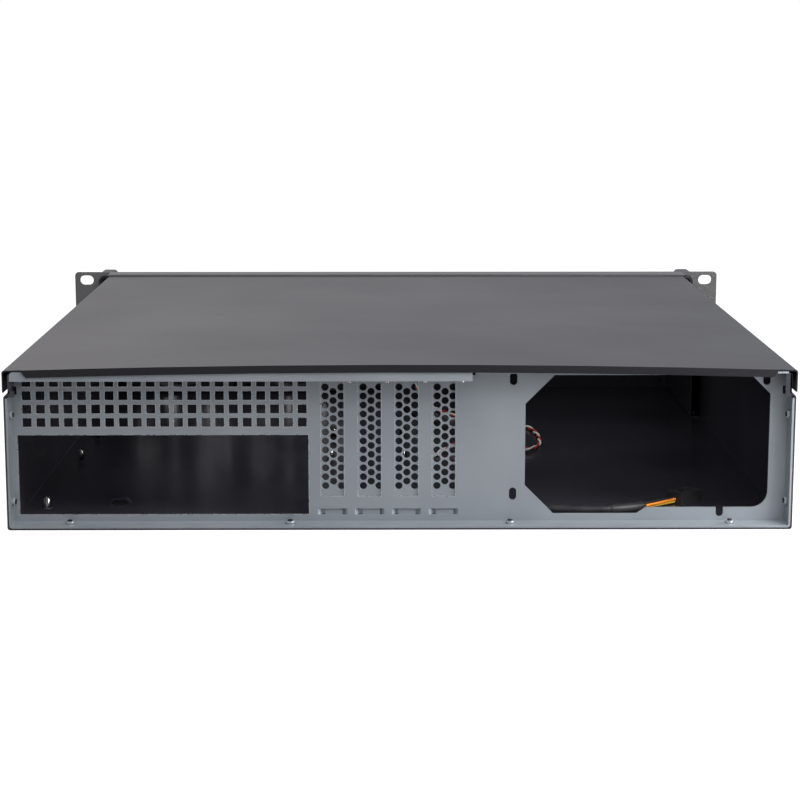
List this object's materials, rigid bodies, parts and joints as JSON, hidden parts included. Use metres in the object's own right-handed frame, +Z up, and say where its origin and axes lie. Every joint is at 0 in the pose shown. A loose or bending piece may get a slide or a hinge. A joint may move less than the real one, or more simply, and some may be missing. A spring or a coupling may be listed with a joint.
{
  "type": "empty rackmount server case",
  "caption": "Low, wide steel rack case with a plain sliding cover, zinc rear panel with vents, slot covers and openings, flat front panel with ears and handles.",
  "frame": {"origin": "under the middle of the whole case, on the plane it rests on", "axes": "+X to the right seen from the front, front faces -Y, rear faces +Y, +Z up"},
  "size_m": [0.4826, 0.4914, 0.0911],
  "materials": {
    "black_paint": "satin",
    "cover_paint": "satin",
    "handle_paint": "satin",
    "zinc": "zinc plated",
    "bright_metal": "bright",
    "black_screw": "black plated",
    "black_plastic": "matt",
    "green_lamp": "clear",
    "amber_lamp": "clear",
    "circuit_board": "matt",
    "lead_sleeve": "matt",
    "lead_wire": "matt"
  },
  "bodies": {
    "chassis": {"base_tray": "black_paint", "bay_cover": "black_plastic", "cover_screws": "black_screw", "drive_cage": "black_paint", "drive_cage_screws": "bright_metal", "drive_lamp": "amber_lamp", "fan_1_frame": "black_plastic", "fan_2_frame": "black_plastic", "fan_lead": "lead_sleeve", "fan_plug": "black_plastic", "fan_screws": "black_screw", "front_panel": "black_paint", "front_panel_screws": "black_screw", "front_wall": "black_paint", "handle_screws": "black_screw", "left_handle": "handle_paint", "mainboard_standoffs": "bright_metal", "panel_lead": "lead_wire", "panel_lead_plug": "black_plastic", "power_lamp": "green_lamp", "rear_panel": "zinc", "rear_panel_screws": "black_screw", "right_handle": "handle_paint", "slot_cover_1": "zinc", "slot_cover_2": "zinc", "slot_cover_3": "zinc", "slot_cover_4": "zinc", "slot_cover_screws": "bright_metal", "switch_board": "circuit_board", "switch_bracket": "zinc", "usb_ports": "bright_metal"},
    "cover": {"top_cover": "cover_paint"},
    "power_key": {"power_button": "black_plastic"},
    "reset_key": {"reset_button": "black_plastic"},
    "rotor_1": {"fan_1_rotor": "black_plastic"},
    "rotor_2": {"fan_2_rotor": "black_plastic"}
  },
  "joints": [
    {"name": "cover_slide", "type": "slide", "parent": "chassis", "child": "cover", "axis": [0, 1, 0], "range_m": [0, 0.02]},
    {"name": "power_press", "type": "slide", "parent": "chassis", "child": "power_key", "axis": [0, 1, 0], "range_m": [0, 0.0015], "stiffness_N_per_m": 800, "springref_m": -0.001},
    {"name": "reset_press", "type": "slide", "parent": "chassis", "child": "reset_key", "axis": [0, 1, 0], "range_m": [0, 0.0015], "stiffness_N_per_m": 500, "springref_m": -0.001},
    {"name": "fan_1_spin", "type": "hinge", "parent": "chassis", "child": "rotor_1", "pos_m": [0.075, -0.1917, 0.0426], "axis": [0, 1, 0], "continuous": true},
    {"name": "fan_2_spin", "type": "hinge", "parent": "chassis", "child": "rotor_2", "pos_m": [0.162, -0.1917, 0.0426], "axis": [0, 1, 0], "continuous": true}
  ]
}
